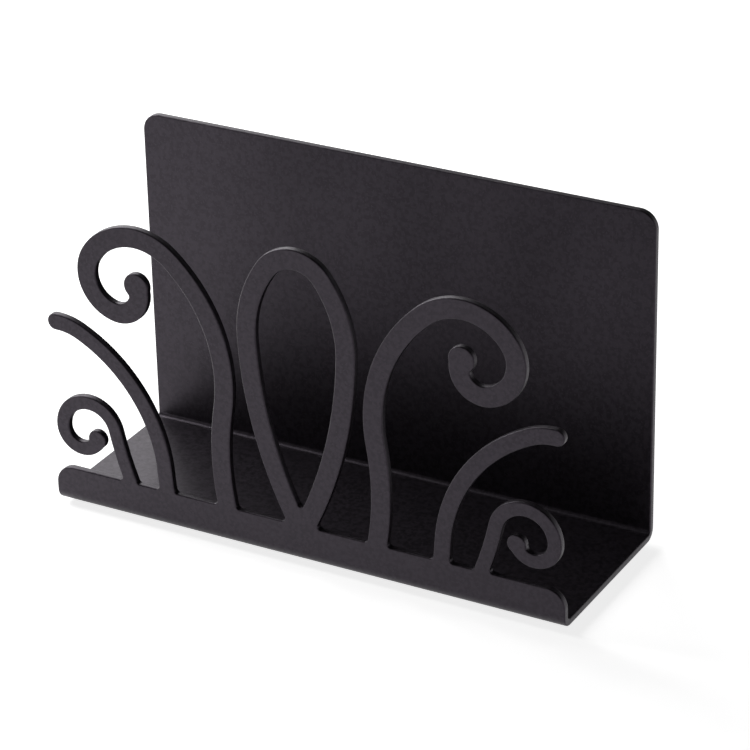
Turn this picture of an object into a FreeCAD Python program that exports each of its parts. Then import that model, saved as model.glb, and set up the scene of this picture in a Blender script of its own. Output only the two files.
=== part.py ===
import FreeCAD, Part
import math
import os
import Sketcher

# Desk letter holder, in millimetres: +Z up, the front faces -Y and left is -X.  The origin lies
# on the desk, under the middle of the holder.
#
# One sheet of steel is cut flat by laser and bent twice through 90 degrees into a tall back, a
# floor and a low front lip.  The scrollwork that keeps the letters in is cut from the same sheet
# and stands up from the lip in one piece with it.  Four stick-on rubber feet carry the holder,
# each on its own disc of adhesive.

# Each driving size, in millimetres or degrees, under the alias of its cell in the sheet "Sizes".
SIZES = {
    # the bent sheet
    "sheet_width": 228,
    "sheet_depth": 80,
    "sheet_thickness": 3,
    "back_height": 141,
    "lip_height": 16.5,
    "bend_inner_radius": 2,
    "back_corner_radius": 7.5,
    "lip_corner_radius": 8,
    # where two cut edges meet in an inner corner, such as where a stroke leaves the lip
    "junction_radius": 1.5,
    # the leaf, a pointed loop in the middle, as one half: its arcs from the foot upwards
    "leaf_band": 8.5,
    "leaf_side_radius": 180,
    "leaf_side_angle": 28,
    "leaf_shoulder_radius": 50,
    "leaf_shoulder_angle": 38,
    "leaf_crown_radius": 15,
    "leaf_crown_angle": 54,
    # the volute on each side of the leaf, which rolls up in a round eye
    "volute_band": 8.5,
    "volute_foot_from_middle": 32,
    "volute_foot_angle": 76,
    "volute_stem_radius": 120,
    "volute_stem_angle": 24,
    "volute_neck_radius": 64,
    "volute_neck_angle": 60,
    "volute_crown_radius": 24,
    "volute_crown_angle": 96,
    "volute_roll_radius": 15,
    "volute_roll_angle": 110,
    "volute_curl_radius": 10,
    "volute_curl_angle": 100,
    "volute_tip_radius": 6,
    "volute_tip_angle": 40,
    "volute_eye": 11,
    # the spray, a free stroke that sweeps out towards each end of the lip
    "spray_band": 7,
    "spray_foot_from_end": 54,
    "spray_foot_angle": 78,
    "spray_stem_radius": 100,
    "spray_stem_angle": 9,
    "spray_sweep_radius": 64,
    "spray_sweep_angle": 62,
    "spray_tip_radius": 24,
    "spray_tip_angle": 27,
    # the tendril, a small scroll over each end of the lip
    "tendril_band": 6,
    "tendril_foot_from_end": 39,
    "tendril_foot_angle": 66,
    "tendril_stem_radius": 150,
    "tendril_stem_angle": 12,
    "tendril_crown_radius": 12.5,
    "tendril_crown_angle": 170,
    "tendril_roll_radius": 8.5,
    "tendril_roll_angle": 130,
    "tendril_tip_radius": 5.5,
    "tendril_tip_angle": 40,
    "tendril_eye": 8,
    # the stick-on feet
    "foot_diameter": 10,
    "foot_height": 1.8,
    "foot_base_diameter": 9,
    "foot_chamfer": 0.4,
    "foot_inset": 15,
    "adhesive_thickness": 0.2,
    "adhesive_margin": 0.5,
}

# What the arcs of each stroke are called, from its foot to its tip, and which way each turns.
LEAF_ARCS = (("side", "left"), ("shoulder", "left"), ("crown", "left"))
VOLUTE_ARCS = (
    ("stem", "left"),
    ("neck", "right"),
    ("crown", "right"),
    ("roll", "right"),
    ("curl", "right"),
    ("tip", "right"),
)
SPRAY_ARCS = (("stem", "left"), ("sweep", "right"), ("tip", "right"))
TENDRIL_ARCS = (("stem", "left"), ("crown", "right"), ("roll", "right"), ("tip", "right"))

# Where the flat of the lip starts above its lower bend, and how far up the feet lift the sheet.
LIP_FLAT_START = "(Sizes.sheet_thickness + Sizes.bend_inner_radius)"
LIFT = "(Sizes.foot_height + Sizes.adhesive_thickness)"

# Sketcher's own numbers for the axes and for the ends and centre of a curve.
HORIZONTAL_AXIS, VERTICAL_AXIS = range(-1, -3, -1)
START, END, CENTRE = range(1, 4)
ORIGIN = (HORIZONTAL_AXIS, START)

# Places closer together than this are the same place.
SAME_PLACE = 1e-4


def make_size_sheet(doc):
    """Write the driving sizes into the spreadsheet, one aliased cell each."""
    sheet = doc.addObject("Spreadsheet::Sheet", "Sizes")
    for row, (alias, value) in enumerate(SIZES.items(), start=1):
        sheet.set(f"A{row}", alias.replace("_", " "))
        sheet.set(f"B{row}", str(value))
        sheet.setAlias(f"B{row}", alias)
    doc.recompute()
    return sheet


def plain(owner, expression):
    """Work out an expression as a plain number, in millimetres or degrees."""
    value = owner.evalExpression(expression)
    return float(getattr(value, "Value", value))


def bind(sketch, name, expression, kind, *where):
    """Add a dimension to a sketch and drive it by an expression."""
    value = plain(sketch, expression)
    if kind == "Angle":
        value = math.radians(value)
        expression = f"({expression}) * 1 deg"
    index = sketch.addConstraint(Sketcher.Constraint(kind, *where, value))
    sketch.renameConstraint(index, name)
    sketch.setExpression(f"Constraints.{name}", expression)


def measure(sketch, name, kind, *where):
    """Add a dimension that only reads the sketch, for other objects to follow."""
    index = sketch.addConstraint(Sketcher.Constraint(kind, *where, 0.0))
    sketch.setDriving(index, False)
    sketch.renameConstraint(index, name)


def origin_plane(body, role):
    """Find one of a body's own origin planes."""
    for feature in body.Origin.OriginFeatures:
        if feature.Role == role:
            return feature
    raise ValueError(f"{body.Label} has no {role}")


def body_sketch(body, name, role):
    """Start a sketch on one of a body's origin planes."""
    sketch = body.newObject("Sketcher::SketchObject", name)
    sketch.AttachmentSupport = [(origin_plane(body, role), "")]
    sketch.MapMode = "FlatFace"
    return sketch


def make_bent_plate(doc):
    """Bend the plain sheet: a U-shaped section, padded over the width."""
    body = doc.addObject("PartDesign::Body", "bent_plate")
    sketch = body_sketch(body, "section", "YZ_Plane")
    sizes = {name: plain(sketch, f"Sizes.{name}") for name in SIZES}
    thick = sizes["sheet_thickness"]
    inner = sizes["bend_inner_radius"]
    outer = inner + thick
    front = -sizes["sheet_depth"] / 2
    back = -front
    lip_top = sizes["lip_height"]
    back_top = sizes["back_height"]

    def line(y_from, z_from, y_to, z_to):
        ends = (FreeCAD.Vector(y_from, z_from, 0), FreeCAD.Vector(y_to, z_to, 0))
        return sketch.addGeometry(Part.LineSegment(*ends), False)

    def bend(centre_y, radius, start_angle):
        centre = FreeCAD.Vector(centre_y, outer, 0)
        circle = Part.Circle(centre, FreeCAD.Vector(0, 0, 1), radius)
        quarter = Part.ArcOfCircle(circle, start_angle, start_angle + math.pi / 2)
        return sketch.addGeometry(quarter, False)

    front_face = line(front, lip_top, front, outer)
    front_outer = bend(front + outer, outer, math.pi)
    underside = line(front + outer, 0, back - outer, 0)
    rear_outer = bend(back - outer, outer, -math.pi / 2)
    rear_face = line(back, outer, back, back_top)
    back_edge = line(back, back_top, back - thick, back_top)
    back_inside = line(back - thick, back_top, back - thick, outer)
    rear_inner = bend(back - outer, inner, -math.pi / 2)
    floor = line(back - outer, thick, front + outer, thick)
    front_inner = bend(front + outer, inner, math.pi)
    lip_inside = line(front + thick, outer, front + thick, lip_top)
    lip_edge = line(front + thick, lip_top, front, lip_top)

    tangent_joints = (
        (front_face, END, front_outer, START),
        (front_outer, END, underside, START),
        (underside, END, rear_outer, START),
        (rear_outer, END, rear_face, START),
        (back_inside, END, rear_inner, END),
        (rear_inner, START, floor, START),
        (floor, END, front_inner, END),
        (front_inner, START, lip_inside, START),
    )
    corners = (
        (rear_face, END, back_edge, START),
        (back_edge, END, back_inside, START),
        (lip_inside, END, lip_edge, START),
        (lip_edge, END, front_face, START),
        (front_outer, CENTRE, front_inner, CENTRE),
        (rear_outer, CENTRE, rear_inner, CENTRE),
    )
    for joint in tangent_joints:
        sketch.addConstraint(Sketcher.Constraint("Tangent", *joint))
    for joint in corners:
        sketch.addConstraint(Sketcher.Constraint("Coincident", *joint))
    for upright in (front_face, rear_face, back_inside, lip_inside):
        sketch.addConstraint(Sketcher.Constraint("Vertical", upright))
    for level in (underside, floor, back_edge, lip_edge):
        sketch.addConstraint(Sketcher.Constraint("Horizontal", level))

    half_depth = "Sizes.sheet_depth / 2"
    bind(sketch, "inner_radius", "Sizes.bend_inner_radius", "Radius", front_inner)
    bind(sketch, "rear_inner_radius", "Sizes.bend_inner_radius", "Radius", rear_inner)
    bind(sketch, "thickness", "Sizes.sheet_thickness", "DistanceX", front_face, START, lip_edge, START)
    bind(sketch, "front_reach", half_depth, "DistanceX", front_face, START, *ORIGIN)
    bind(sketch, "back_reach", half_depth, "DistanceX", *ORIGIN, rear_face, END)
    bind(sketch, "lip_height", "Sizes.lip_height", "DistanceY", *ORIGIN, front_face, START)
    bind(sketch, "back_height", "Sizes.back_height", "DistanceY", *ORIGIN, rear_face, END)
    on_desk = (underside, START, HORIZONTAL_AXIS)
    sketch.addConstraint(Sketcher.Constraint("PointOnObject", *on_desk))
    doc.recompute()

    pad = body.newObject("PartDesign::Pad", "folded_sheet")
    pad.Profile = sketch
    pad.SideType = "Symmetric"
    pad.setExpression("Length", "Sizes.sheet_width")
    return body


def arc_chain(start, heading, arcs):
    """Work out tangent arcs one after the other, each with its own ends in travelling order."""
    x, z = start
    chain = []
    for radius, angle, turn in arcs:
        sign = 1 if turn == "left" else -1
        centre_x = x - sign * radius * math.sin(heading)
        centre_z = z + sign * radius * math.cos(heading)
        centre = FreeCAD.Vector(centre_x, centre_z, 0)
        circle = Part.Circle(centre, FreeCAD.Vector(0, 0, 1), radius)
        from_angle = heading - sign * math.pi / 2
        to_angle = from_angle + sign * angle
        arc = Part.ArcOfCircle(circle, min(from_angle, to_angle), max(from_angle, to_angle))
        ends = (START, END) if turn == "left" else (END, START)
        chain.append((arc, *ends))
        heading = heading + sign * angle
        x = centre_x + sign * radius * math.sin(heading)
        z = centre_z - sign * radius * math.cos(heading)
    return chain, x


def make_centre_line(doc, stroke, arc_names, foot_x, foot_angle):
    """Draw the middle line of a stroke on the front face, as arcs tangent to each other.

    The stroke starts in the lip, just above its bend.  Where foot_x is None the chain ends on
    the middle line of the holder instead, which places its foot.
    """
    sketch = doc.addObject("Sketcher::SketchObject", f"{stroke}_line")
    upright = FreeCAD.Rotation(FreeCAD.Vector(1, 0, 0), 90)
    sketch.Placement = FreeCAD.Placement(FreeCAD.Vector(0, 0, 0), upright)
    sketch.setExpression("Placement.Base.y", "-Sizes.sheet_depth / 2")

    foot_z = f"{LIP_FLAT_START} + Sizes.{stroke}_band / 2"
    heading = math.radians(plain(sketch, foot_angle))
    arcs = []
    for name, turn in arc_names:
        radius = plain(sketch, f"Sizes.{stroke}_{name}_radius")
        angle = math.radians(plain(sketch, f"Sizes.{stroke}_{name}_angle"))
        arcs.append((radius, angle, turn))
    start_z = plain(sketch, foot_z)
    if foot_x is None:
        _, run = arc_chain((0, start_z), heading, arcs)
        start_x = -run
    else:
        start_x = plain(sketch, foot_x)
    chain, _ = arc_chain((start_x, start_z), heading, arcs)
    drawn = [(sketch.addGeometry(arc, False), first, last) for arc, first, last in chain]

    for (name, _), (index, _, _) in zip(arc_names, drawn):
        bind(sketch, f"{name}_radius", f"Sizes.{stroke}_{name}_radius", "Radius", index)
        bind(sketch, f"{name}_angle", f"Sizes.{stroke}_{name}_angle", "Angle", index)
    for (before, _, before_end), (after, after_start, _) in zip(drawn, drawn[1:]):
        joint = (before, before_end, after, after_start)
        sketch.addConstraint(Sketcher.Constraint("Tangent", *joint))

    first, first_start, _ = drawn[0]
    last, _, last_end = drawn[-1]
    guide_length = 1.0
    run_in = FreeCAD.Vector(math.cos(heading), math.sin(heading), 0) * guide_length
    foot = FreeCAD.Vector(start_x, start_z, 0)
    guide = sketch.addGeometry(Part.LineSegment(foot - run_in, foot), True)
    sketch.addConstraint(Sketcher.Constraint("Tangent", guide, END, first, first_start))
    sketch.addConstraint(Sketcher.Constraint("Distance", guide, guide_length))
    bind(sketch, "foot_angle", foot_angle, "Angle", guide)
    bind(sketch, "foot_height", foot_z, "DistanceY", *ORIGIN, first, first_start)
    if foot_x is None:
        on_axis = (last, last_end, VERTICAL_AXIS)
        sketch.addConstraint(Sketcher.Constraint("PointOnObject", *on_axis))
    else:
        bind(sketch, "foot_place", foot_x, "DistanceX", *ORIGIN, first, first_start)
    measure(sketch, "tip_x", "DistanceX", *ORIGIN, last, last_end)
    measure(sketch, "tip_z", "DistanceY", *ORIGIN, last, last_end)
    return sketch


def make_stroke(doc, stroke, arc_names, foot_x, foot_angle):
    """Widen a centre line to a round-ended band and give it the sheet's thickness."""
    line = make_centre_line(doc, stroke, arc_names, foot_x, foot_angle)
    doc.recompute()
    band = doc.addObject("Part::Offset2D", f"{stroke}_outline")
    band.Source = line
    band.Mode = "Pipe"
    band.Join = "Arc"
    band.Fill = True
    band.setExpression("Value", f"Sizes.{stroke}_band / 2")
    solid = doc.addObject("Part::Extrusion", f"{stroke}_stroke")
    solid.Base = band
    solid.DirMode = "Custom"
    solid.Dir = FreeCAD.Vector(0, 1, 0)
    solid.Solid = True
    solid.setExpression("LengthFwd", "Sizes.sheet_thickness")
    pieces = [solid]
    if f"{stroke}_eye" in SIZES:
        pieces.append(make_eye(doc, stroke, line))
    return pieces


def make_eye(doc, stroke, line):
    """Set a round eye on the tip of a rolled-up stroke."""
    eye = doc.addObject("Part::Cylinder", f"{stroke}_eye")
    along_y = FreeCAD.Rotation(FreeCAD.Vector(1, 0, 0), -90)
    eye.Placement = FreeCAD.Placement(FreeCAD.Vector(0, 0, 0), along_y)
    eye.setExpression("Radius", f"Sizes.{stroke}_eye / 2")
    eye.setExpression("Height", "Sizes.sheet_thickness")
    eye.setExpression("Placement.Base.x", f"{line.Name}.Constraints.tip_x")
    eye.setExpression("Placement.Base.y", "-Sizes.sheet_depth / 2")
    eye.setExpression("Placement.Base.z", f"{line.Name}.Constraints.tip_z")
    return eye


def make_scrollwork(doc):
    """Make the right half of the scrollwork and mirror it to the left."""
    leaf_angles = " - ".join(f"Sizes.leaf_{name}_angle" for name, _ in LEAF_ARCS)
    half_width = "Sizes.sheet_width / 2"
    pieces = make_stroke(doc, "leaf", LEAF_ARCS, None, f"180 - {leaf_angles}")
    pieces += make_stroke(
        doc, "volute", VOLUTE_ARCS, "Sizes.volute_foot_from_middle", "Sizes.volute_foot_angle"
    )
    for stroke, arcs in (("spray", SPRAY_ARCS), ("tendril", TENDRIL_ARCS)):
        foot_x = f"{half_width} - Sizes.{stroke}_foot_from_end"
        pieces += make_stroke(doc, stroke, arcs, foot_x, f"Sizes.{stroke}_foot_angle")
    right = doc.addObject("Part::MultiFuse", "scrollwork_right")
    right.Shapes = pieces
    left = doc.addObject("Part::Mirroring", "scrollwork_left")
    left.Source = right
    left.Normal = FreeCAD.Vector(1, 0, 0)
    return right, left


def stands_at(edge, x, z):
    """Tell whether an edge runs straight through the sheet at a given place of its outline."""
    return all(
        abs(vertex.X - x) < SAME_PLACE and abs(vertex.Z - z) < SAME_PLACE
        for vertex in edge.Vertexes
    )


def find_front_face(shape, front_y):
    """Find the face that the scrollwork shows to the front."""
    flat = [face for face in shape.Faces if isinstance(face.Surface, Part.Plane)]
    front = [face for face in flat if abs(face.CenterOfMass.y - front_y) < SAME_PLACE]
    return max(front, key=lambda face: face.Area)


def is_inner_corner(front_face, corner):
    """Tell whether the front face fills more than half of a small circle about a corner."""
    probe_radius = 0.2
    probes = 24
    share_of_inner_corner = 0.55
    inside = 0
    for step in range(probes):
        angle = 2 * math.pi * (step + 0.5) / probes
        offset = FreeCAD.Vector(math.cos(angle), 0, math.sin(angle)) * probe_radius
        inside += front_face.isInside(corner + offset, SAME_PLACE, True)
    return inside > share_of_inner_corner * probes


def find_inner_corners(shape, front_y, above):
    """List where the cut edges of the scrollwork meet in inner corners, above a height."""
    front_face = find_front_face(shape, front_y)
    corners = [vertex.Point for vertex in front_face.Vertexes if vertex.Z > above]
    return [corner for corner in corners if is_inner_corner(front_face, corner)]


def round_corners(doc, body, name, radius, places):
    """Round the edges of a body that run through the sheet at the given places."""
    base = body.Tip
    edges = [
        f"Edge{number}"
        for number, edge in enumerate(base.Shape.Edges, start=1)
        if any(stands_at(edge, place.x, place.z) for place in places)
    ]
    fillet = body.newObject("PartDesign::Fillet", name)
    fillet.Base = (base, edges)
    fillet.setExpression("Radius", radius)
    body.Tip = fillet
    doc.recompute()


def make_sheet(doc):
    """Join the bent plate and its scrollwork and round the outline's corners."""
    plate = make_bent_plate(doc)
    scrollwork = make_scrollwork(doc)
    blank = doc.addObject("Part::MultiFuse", "sharp_sheet")
    blank.Shapes = [plate, *scrollwork]
    blank.Refine = True
    doc.recompute()

    body = doc.addObject("PartDesign::Body", "steel_sheet")
    body.BaseFeature = blank
    doc.recompute()
    end_x = plain(blank, "Sizes.sheet_width / 2")
    front_y = plain(blank, "-Sizes.sheet_depth / 2")

    def both_ends(height):
        return [FreeCAD.Vector(side * end_x, front_y, height) for side in (-1, 1)]

    lip_flat_start = plain(blank, LIP_FLAT_START)
    junctions = find_inner_corners(blank.Shape, front_y, lip_flat_start)
    back_corners = both_ends(plain(blank, "Sizes.back_height"))
    lip_corners = both_ends(plain(blank, "Sizes.lip_height"))
    round_corners(doc, body, "junctions", "Sizes.junction_radius", junctions)
    round_corners(doc, body, "back_corners", "Sizes.back_corner_radius", back_corners)
    round_corners(doc, body, "lip_corners", "Sizes.lip_corner_radius", lip_corners)
    body.setExpression("Placement.Base.z", LIFT)
    return body


def foot_centre(side, end):
    """Give the expressions for the centre of the foot at one corner of the floor."""
    along_x = f"{side} * (Sizes.sheet_width / 2 - Sizes.foot_inset)"
    along_y = f"{end} * (Sizes.sheet_depth / 2 - Sizes.foot_inset)"
    return along_x, along_y


def make_foot(doc, corner, side, end):
    """Turn one rubber foot: a low disc that narrows towards the desk, with a chamfered rim."""
    body = doc.addObject("PartDesign::Body", f"foot_{corner}")
    sketch = body_sketch(body, f"half_section_{corner}", "XZ_Plane")
    top = plain(sketch, "Sizes.foot_height")
    wide = plain(sketch, "Sizes.foot_diameter / 2")
    narrow = plain(sketch, "Sizes.foot_base_diameter / 2")
    outline = (
        FreeCAD.Vector(0, 0, 0),
        FreeCAD.Vector(narrow, 0, 0),
        FreeCAD.Vector(wide, top, 0),
        FreeCAD.Vector(0, top, 0),
    )
    sides = []
    for number, point in enumerate(outline):
        after = outline[(number + 1) % len(outline)]
        sides.append(sketch.addGeometry(Part.LineSegment(point, after), False))
    base_line, flank, top_line, axis_line = sides
    for before, after in zip(sides, sides[1:] + sides[:1]):
        sketch.addConstraint(Sketcher.Constraint("Coincident", before, END, after, START))
    sketch.addConstraint(Sketcher.Constraint("Coincident", base_line, START, *ORIGIN))
    sketch.addConstraint(Sketcher.Constraint("Horizontal", base_line))
    sketch.addConstraint(Sketcher.Constraint("Horizontal", top_line))
    sketch.addConstraint(Sketcher.Constraint("Vertical", axis_line))
    bind(sketch, "base_radius", "Sizes.foot_base_diameter / 2", "Distance", base_line)
    bind(sketch, "top_radius", "Sizes.foot_diameter / 2", "Distance", top_line)
    bind(sketch, "height", "Sizes.foot_height", "Distance", axis_line)
    doc.recompute()

    turned = body.newObject("PartDesign::Revolution", f"turned_{corner}")
    turned.Profile = sketch
    turned.ReferenceAxis = (sketch, ["V_Axis"])
    turned.Angle = 360
    doc.recompute()
    rim = [
        f"Edge{number}"
        for number, edge in enumerate(turned.Shape.Edges, start=1)
        if isinstance(edge.Curve, Part.Circle) and abs(edge.CenterOfMass.z) < SAME_PLACE
    ]
    chamfer = body.newObject("PartDesign::Chamfer", f"rim_{corner}")
    chamfer.Base = (turned, rim)
    chamfer.setExpression("Size", "Sizes.foot_chamfer")
    along_x, along_y = foot_centre(side, end)
    body.setExpression("Placement.Base.x", along_x)
    body.setExpression("Placement.Base.y", along_y)
    return body


def make_adhesive(doc, corner, side, end):
    """Make the disc of adhesive between one foot and the floor of the sheet."""
    disc = doc.addObject("Part::Cylinder", f"adhesive_{corner}")
    disc.setExpression("Radius", "Sizes.foot_diameter / 2 - Sizes.adhesive_margin")
    disc.setExpression("Height", "Sizes.adhesive_thickness")
    along_x, along_y = foot_centre(side, end)
    disc.setExpression("Placement.Base.x", along_x)
    disc.setExpression("Placement.Base.y", along_y)
    disc.setExpression("Placement.Base.z", "Sizes.foot_height")
    return disc


def check(doc, parts):
    """Stop before anything is written if an object failed or a part isn't one valid solid."""
    for item in doc.Objects:
        if "Invalid" in item.State or "Error" in item.State:
            raise RuntimeError(f"{item.Label} did not compute: {item.State}")
        if item.TypeId == "Sketcher::SketchObject" and not item.FullyConstrained:
            raise RuntimeError(f"{item.Label} is not fully constrained")
    for part in parts:
        shape = part.Shape
        if shape.isNull() or not shape.isValid() or len(shape.Solids) != 1:
            raise RuntimeError(f"{part.Label} is not one valid solid")


def main():
    doc = FreeCAD.newDocument("letter_holder")
    make_size_sheet(doc)
    parts = [make_sheet(doc)]
    for depth_name, end in (("front", -1), ("rear", 1)):
        for side_name, side in (("left", -1), ("right", 1)):
            corner = f"{depth_name}_{side_name}"
            parts.append(make_foot(doc, corner, side, end))
            parts.append(make_adhesive(doc, corner, side, end))
    doc.recompute()
    check(doc, parts)
    os.makedirs("parts", exist_ok=True)
    for part in parts:
        part.Shape.exportStep(f"parts/{part.Label}.step")
        box = part.Shape.BoundBox
        print(
            f"{part.Label}: {part.Shape.Volume:.1f} mm3, X {box.XMin:.2f} to {box.XMax:.2f}, "
            f"Y {box.YMin:.2f} to {box.YMax:.2f}, Z {box.ZMin:.2f} to {box.ZMax:.2f}"
        )


main()
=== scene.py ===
"""Looks of a desk letter holder: black powder-coated sheet steel on four rubber feet."""

import math

import bmesh
import bpy
from mathutils import Matrix, Vector

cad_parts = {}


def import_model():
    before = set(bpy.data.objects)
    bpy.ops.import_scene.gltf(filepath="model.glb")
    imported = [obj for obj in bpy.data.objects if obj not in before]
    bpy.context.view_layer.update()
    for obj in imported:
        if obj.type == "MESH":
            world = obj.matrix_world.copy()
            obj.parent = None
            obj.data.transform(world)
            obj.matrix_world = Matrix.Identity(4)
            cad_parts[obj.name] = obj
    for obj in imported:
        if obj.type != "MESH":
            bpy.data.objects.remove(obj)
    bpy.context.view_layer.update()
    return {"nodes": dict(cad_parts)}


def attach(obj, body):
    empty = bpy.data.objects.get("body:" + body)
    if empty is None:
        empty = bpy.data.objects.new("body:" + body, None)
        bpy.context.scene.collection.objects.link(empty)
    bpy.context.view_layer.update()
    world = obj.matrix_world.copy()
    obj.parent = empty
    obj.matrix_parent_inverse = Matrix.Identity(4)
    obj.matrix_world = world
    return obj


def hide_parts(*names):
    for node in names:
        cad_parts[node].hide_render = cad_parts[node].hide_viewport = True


MM = 0.001
WHITE = (1, 1, 1, 1)

# The camera stands to the right of the holder and above it, and looks down on it.
CAMERA_PLACE = Vector((0.5883, -1.0256, 0.6624))
CAMERA_YAW = math.radians(29.33)
CAMERA_PITCH = math.radians(-26.77)
CAMERA_ROLL = math.radians(1.28)
CAMERA_LENS = 162.2
SENSOR_WIDTH = 36.0
NEAREST_SEEN = 0.05
FARTHEST_SEEN = 50

# The cut edges of the sheet are tumbled and coated, which rounds them off.
EDGE_RADIUS = 0.6 * MM
EDGE_STEPS = 3
MERGE_DISTANCE = 0.001 * MM
FLAT_ANGLE = math.radians(0.5)
SHARP_ANGLE = math.radians(40)

# The powder coat is black with a cast of violet. Its grain is flecks of a lighter shade with
# a few bright specks among them. Each range says where in a noise it starts and ends.
COAT_DARK = (0.0050, 0.0042, 0.0053)
COAT_LIGHT = (0.0140, 0.0117, 0.0148)
COAT_SPECK = (0.0200, 0.0167, 0.0211)
COAT_TINT = (0.95, 0.82, 1.0)
COAT_IOR = 1.45
SPECK_SIZE = 0.9 * MM
SPECK_RANGE = (0.58, 0.70)
FLECK_SIZE = 1.8 * MM
FLECK_RANGE = (0.36, 0.64)
FLECK_DEPTH = 0.008 * MM
SHINE_RANGE = (0.32, 0.68)
SHINE_LEVELS = (0.47, 0.53)
GRAIN_SIZE = 2.2 * MM
GRAIN_RANGE = (0.30, 0.70)
GRAIN_ROUGHNESS = (0.43, 0.39)

RUBBER_DARK = (0.012, 0.012, 0.012)
RUBBER_DUSTY = (0.030, 0.029, 0.028)
DUST_SIZE = 3 * MM
MOTTLE_SIZE = 0.6 * MM
MOTTLE_RANGE = (0.3, 0.7)
MOTTLE_ROUGHNESS = (0.72, 0.88)
MOTTLE_DEPTH = 0.03 * MM

ADHESIVE_DARK = (0.52, 0.50, 0.44)
ADHESIVE_LIGHT = (0.66, 0.64, 0.58)
ADHESIVE_ROUGHNESS = 0.35
CLOUD_SIZE = 0.8 * MM

# What the floor adds to its own light, so that it is seen as white. Away from the holder the
# lamps give it less, so the camera sees it glow up to plain white between two distances.
FLOOR_SIZE = 6.0
FLOOR_COLOUR = (0.8, 0.8, 0.8, 1)
FLOOR_GLOW = 0.80
FLOOR_WHITENS = (0.6, 1.6)

# The world: its light on the object, and the heights of a mirrored ray between which the
# backdrop turns from white to dark.
WORLD_LIGHT = 0.05
BACKDROP_DARKENS = (0.10, 0.35)

# The soft lights hang to the left and face the middle of the holder.
LIGHT_TARGET = Vector((0, 0, 0.06))
KEY_PLACE = Vector((-0.5, 0.0, 0.4))
KEY_SIZE = 0.3
KEY_POWER = 2.6
REAR_PLACE = Vector((-0.8, 0.6, 0.7))
REAR_SIZE = 0.8
REAR_POWER = 6.5


def start_material(name):
    """Make an empty node material, and return it with its nodes and links."""
    material = bpy.data.materials.new(name)
    material.use_nodes = True
    material.node_tree.nodes.clear()
    return material, material.node_tree.nodes, material.node_tree.links


def start_surface(name):
    """Make a material with a Principled shader, and return it with what fills the shader."""
    material, nodes, links = start_material(name)
    shader = nodes.new("ShaderNodeBsdfPrincipled")
    output = nodes.new("ShaderNodeOutputMaterial")
    links.new(shader.outputs["BSDF"], output.inputs["Surface"])
    place = nodes.new("ShaderNodeTexCoord").outputs["Object"]
    return material, nodes, links, shader.inputs, place


def add_noise(nodes, links, place, size, detail):
    """Add a noise whose lumps are about the given size, in metres."""
    noise = nodes.new("ShaderNodeTexNoise")
    noise.inputs["Scale"].default_value = 1 / size
    noise.inputs["Detail"].default_value = detail
    links.new(place, noise.inputs["Vector"])
    return noise.outputs["Fac"]


def add_range(nodes, links, value, source, target=(0.0, 1.0)):
    """Map a value from the source range to the target range and clamp it there."""
    mapped = nodes.new("ShaderNodeMapRange")
    mapped.inputs["From Min"].default_value, mapped.inputs["From Max"].default_value = source
    mapped.inputs["To Min"].default_value, mapped.inputs["To Max"].default_value = target
    links.new(value, mapped.inputs["Value"])
    return mapped.outputs["Result"]


def add_bump(nodes, links, height, depth):
    """Turn a height from 0 to 1 into a bump of the given depth, in metres."""
    bump = nodes.new("ShaderNodeBump")
    bump.inputs["Strength"].default_value = 1.0
    bump.inputs["Distance"].default_value = depth
    links.new(height, bump.inputs["Height"])
    return bump.outputs["Normal"]


def add_mix(nodes, links, kind, factor, first, second):
    """Mix two colours or numbers by a factor. Each is a socket, a colour or a number."""
    mix = nodes.new("ShaderNodeMix")
    mix.data_type = kind
    links.new(factor, mix.inputs["Factor"])
    for value, socket in ((first, mix.inputs["A"]), (second, mix.inputs["B"])):
        if isinstance(value, bpy.types.NodeSocket):
            links.new(value, socket)
        else:
            socket.default_value = (*value, 1) if kind == "RGBA" else value
    return mix.outputs["Result"]


def add_camera_rays(nodes):
    """Give 1 to rays from the camera and 0 to all others."""
    return nodes.new("ShaderNodeLightPath").outputs["Is Camera Ray"]


def add_seen_rays(nodes, links):
    """Give 1 to rays from the camera, a mirror or glass, and 0 to those that carry light."""
    rays = nodes.new("ShaderNodeLightPath")
    mirrored = nodes.new("ShaderNodeMath")
    mirrored.operation = "ADD"
    links.new(rays.outputs["Is Camera Ray"], mirrored.inputs[0])
    links.new(rays.outputs["Is Glossy Ray"], mirrored.inputs[1])
    seen = nodes.new("ShaderNodeMath")
    seen.operation = "ADD"
    links.new(mirrored.outputs["Value"], seen.inputs[0])
    links.new(rays.outputs["Is Transmission Ray"], seen.inputs[1])
    return seen.outputs["Value"]


def make_powder_coat():
    """Satin black powder coat: a leathery grain of flecks and specks, and hardly any relief."""
    material, nodes, links, inputs, place = start_surface("powder_coat")
    speck = add_noise(nodes, links, place, SPECK_SIZE, 0)
    fleck = add_noise(nodes, links, place, FLECK_SIZE, 0)
    grain = add_noise(nodes, links, place, GRAIN_SIZE, 1)

    flecks = add_range(nodes, links, fleck, FLECK_RANGE)
    specks = add_range(nodes, links, speck, SPECK_RANGE)
    shade = add_mix(nodes, links, "RGBA", flecks, COAT_DARK, COAT_LIGHT)
    colour = add_mix(nodes, links, "RGBA", specks, shade, COAT_SPECK)
    links.new(colour, inputs["Base Color"])
    shine = add_range(nodes, links, fleck, SHINE_RANGE, SHINE_LEVELS)
    links.new(shine, inputs["Specular IOR Level"])
    roughness = add_range(nodes, links, grain, GRAIN_RANGE, GRAIN_ROUGHNESS)
    links.new(roughness, inputs["Roughness"])
    links.new(add_bump(nodes, links, fleck, FLECK_DEPTH), inputs["Normal"])
    inputs["Specular Tint"].default_value = (*COAT_TINT, 1)
    inputs["IOR"].default_value = COAT_IOR
    return material


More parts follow.
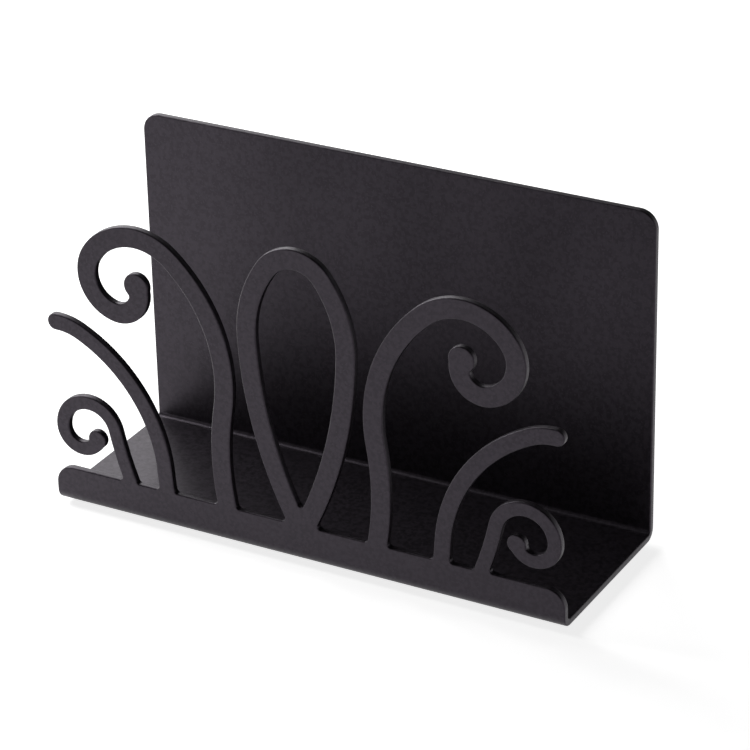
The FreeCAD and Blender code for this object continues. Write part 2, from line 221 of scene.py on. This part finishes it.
def make_rubber():
    """Matt black rubber with a faint moulded mottle."""
    material, nodes, links, inputs, place = start_surface("foot_rubber")
    mottle = add_noise(nodes, links, place, MOTTLE_SIZE, 3)
    dust = add_noise(nodes, links, place, DUST_SIZE, 4)
    colour = add_mix(nodes, links, "RGBA", dust, RUBBER_DARK, RUBBER_DUSTY)
    links.new(colour, inputs["Base Color"])
    roughness = add_range(nodes, links, mottle, MOTTLE_RANGE, MOTTLE_ROUGHNESS)
    links.new(roughness, inputs["Roughness"])
    links.new(add_bump(nodes, links, mottle, MOTTLE_DEPTH), inputs["Normal"])
    return material


def make_adhesive():
    """Cloudy acrylic adhesive."""
    material, nodes, links, inputs, place = start_surface("foot_adhesive")
    cloud = add_noise(nodes, links, place, CLOUD_SIZE, 3)
    colour = add_mix(nodes, links, "RGBA", cloud, ADHESIVE_DARK, ADHESIVE_LIGHT)
    links.new(colour, inputs["Base Color"])
    inputs["Roughness"].default_value = ADHESIVE_ROUGHNESS
    return material


def make_coated_sheet(node, material):
    """Copy the sheet and round its cut edges, so that they catch the light."""
    mesh = node.data.copy()
    mesh.name = "coated_sheet"
    work = bmesh.new()
    work.from_mesh(mesh)
    bmesh.ops.remove_doubles(work, verts=work.verts, dist=MERGE_DISTANCE)
    bmesh.ops.dissolve_limit(work, angle_limit=FLAT_ANGLE, verts=work.verts, edges=work.edges)
    for face in work.faces:
        face.smooth = True
    work.to_mesh(mesh)
    work.free()
    mesh.materials.clear()
    mesh.materials.append(material)
    sheet = bpy.data.objects.new("coated_sheet", mesh)
    bpy.context.scene.collection.objects.link(sheet)

    bevel = sheet.modifiers.new("rounded_edges", "BEVEL")
    bevel.width = EDGE_RADIUS
    bevel.segments = EDGE_STEPS
    bevel.limit_method = "ANGLE"
    bevel.angle_limit = SHARP_ANGLE
    bevel.use_clamp_overlap = False

    # The large flat faces keep their own normals, and the rounded edges run into them.
    shading = sheet.modifiers.new("flat_faces", "WEIGHTED_NORMAL")
    shading.mode = "FACE_AREA"
    return sheet


def make_camera():
    """Set the camera up where the picture was taken from."""
    data = bpy.data.cameras.new("camera")
    data.sensor_width = SENSOR_WIDTH
    data.lens = CAMERA_LENS
    data.clip_start = NEAREST_SEEN
    data.clip_end = FARTHEST_SEEN
    camera = bpy.data.objects.new("camera", data)
    turn = Matrix.Rotation(CAMERA_YAW, 4, "Z")
    turn = turn @ Matrix.Rotation(CAMERA_PITCH, 4, "X")
    turn = turn @ Matrix.Rotation(CAMERA_ROLL, 4, "Y")
    upright = Matrix.Rotation(math.radians(90), 4, "X")
    camera.matrix_world = Matrix.Translation(CAMERA_PLACE) @ turn @ upright
    bpy.context.scene.collection.objects.link(camera)
    bpy.context.scene.camera = camera


def make_floor_material():
    """White floor that keeps the holder's shadow and is clear from below."""
    material, nodes, links = start_material("studio_floor")
    diffuse = nodes.new("ShaderNodeBsdfDiffuse")
    diffuse.inputs["Color"].default_value = FLOOR_COLOUR

    mirrored = nodes.new("ShaderNodeMath")
    mirrored.operation = "MULTIPLY"
    mirrored.inputs[1].default_value = FLOOR_GLOW
    links.new(add_seen_rays(nodes, links), mirrored.inputs[0])
    distance = nodes.new("ShaderNodeVectorMath")
    distance.operation = "LENGTH"
    links.new(nodes.new("ShaderNodeTexCoord").outputs["Object"], distance.inputs[0])
    seen = add_range(nodes, links, distance.outputs["Value"], FLOOR_WHITENS, (FLOOR_GLOW, 1.0))
    strength = add_mix(
        nodes, links, "FLOAT", add_camera_rays(nodes), mirrored.outputs["Value"], seen
    )
    glow = nodes.new("ShaderNodeEmission")
    glow.inputs["Color"].default_value = WHITE
    links.new(strength, glow.inputs["Strength"])

    top = nodes.new("ShaderNodeAddShader")
    links.new(diffuse.outputs["BSDF"], top.inputs[0])
    links.new(glow.outputs["Emission"], top.inputs[1])
    underside = nodes.new("ShaderNodeBsdfTransparent")
    sides = nodes.new("ShaderNodeMixShader")
    links.new(nodes.new("ShaderNodeNewGeometry").outputs["Backfacing"], sides.inputs["Fac"])
    links.new(top.outputs["Shader"], sides.inputs[1])
    links.new(underside.outputs["BSDF"], sides.inputs[2])
    output = nodes.new("ShaderNodeOutputMaterial")
    links.new(sides.outputs["Shader"], output.inputs["Surface"])
    return material


def make_floor():
    """Lay the floor under the holder."""
    half = FLOOR_SIZE / 2
    corners = [(-half, -half, 0), (half, -half, 0), (half, half, 0), (-half, half, 0)]
    mesh = bpy.data.meshes.new("studio_floor")
    mesh.from_pydata(corners, [], [(0, 1, 2, 3)])
    mesh.materials.append(make_floor_material())
    floor = bpy.data.objects.new("studio_floor", mesh)
    bpy.context.scene.collection.objects.link(floor)


def make_world():
    """Surround the studio with a backdrop that the camera sees as white.

    The holder mirrors it as white near the floor and dark above, and gets little light from it.
    """
    world = bpy.data.worlds.new("studio")
    bpy.context.scene.world = world
    world.use_nodes = True
    nodes, links = world.node_tree.nodes, world.node_tree.links
    nodes.clear()
    direction = nodes.new("ShaderNodeSeparateXYZ")
    links.new(nodes.new("ShaderNodeTexCoord").outputs["Generated"], direction.inputs["Vector"])
    backdrop = add_range(
        nodes, links, direction.outputs["Z"], BACKDROP_DARKENS, (1.0, WORLD_LIGHT)
    )
    seen = add_seen_rays(nodes, links)
    mirrored = add_mix(nodes, links, "FLOAT", seen, WORLD_LIGHT, backdrop)
    strength = add_mix(nodes, links, "FLOAT", add_camera_rays(nodes), mirrored, 1.0)
    background = nodes.new("ShaderNodeBackground")
    background.inputs["Color"].default_value = WHITE
    links.new(strength, background.inputs["Strength"])
    output = nodes.new("ShaderNodeOutputWorld")
    links.new(background.outputs["Background"], output.inputs["Surface"])


def add_softbox(name, place, size, power):
    """Hang a square soft light that faces the middle of the holder."""
    data = bpy.data.lights.new(name, "AREA")
    data.shape = "SQUARE"
    data.size = size
    data.energy = power
    light = bpy.data.objects.new(name, data)
    light.location = place
    light.rotation_euler = (LIGHT_TARGET - place).to_track_quat("-Z", "Y").to_euler()
    bpy.context.scene.collection.objects.link(light)


def main():
    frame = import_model()
    nodes = frame["nodes"]

    powder_coat = make_powder_coat()
    rubber = make_rubber()
    adhesive = make_adhesive()
    for name, node in nodes.items():
        if name.startswith("foot_"):
            node.data.materials[0] = rubber
        elif name.startswith("adhesive_"):
            node.data.materials[0] = adhesive
        else:
            node.data.materials[0] = powder_coat

    sheet = make_coated_sheet(nodes["steel_sheet"], powder_coat)
    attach(sheet, "root")
    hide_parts("steel_sheet")

    make_camera()
    make_floor()
    make_world()
    add_softbox("key", KEY_PLACE, KEY_SIZE, KEY_POWER)
    add_softbox("rear", REAR_PLACE, REAR_SIZE, REAR_POWER)
    bpy.context.scene.view_settings.view_transform = "Standard"


main()
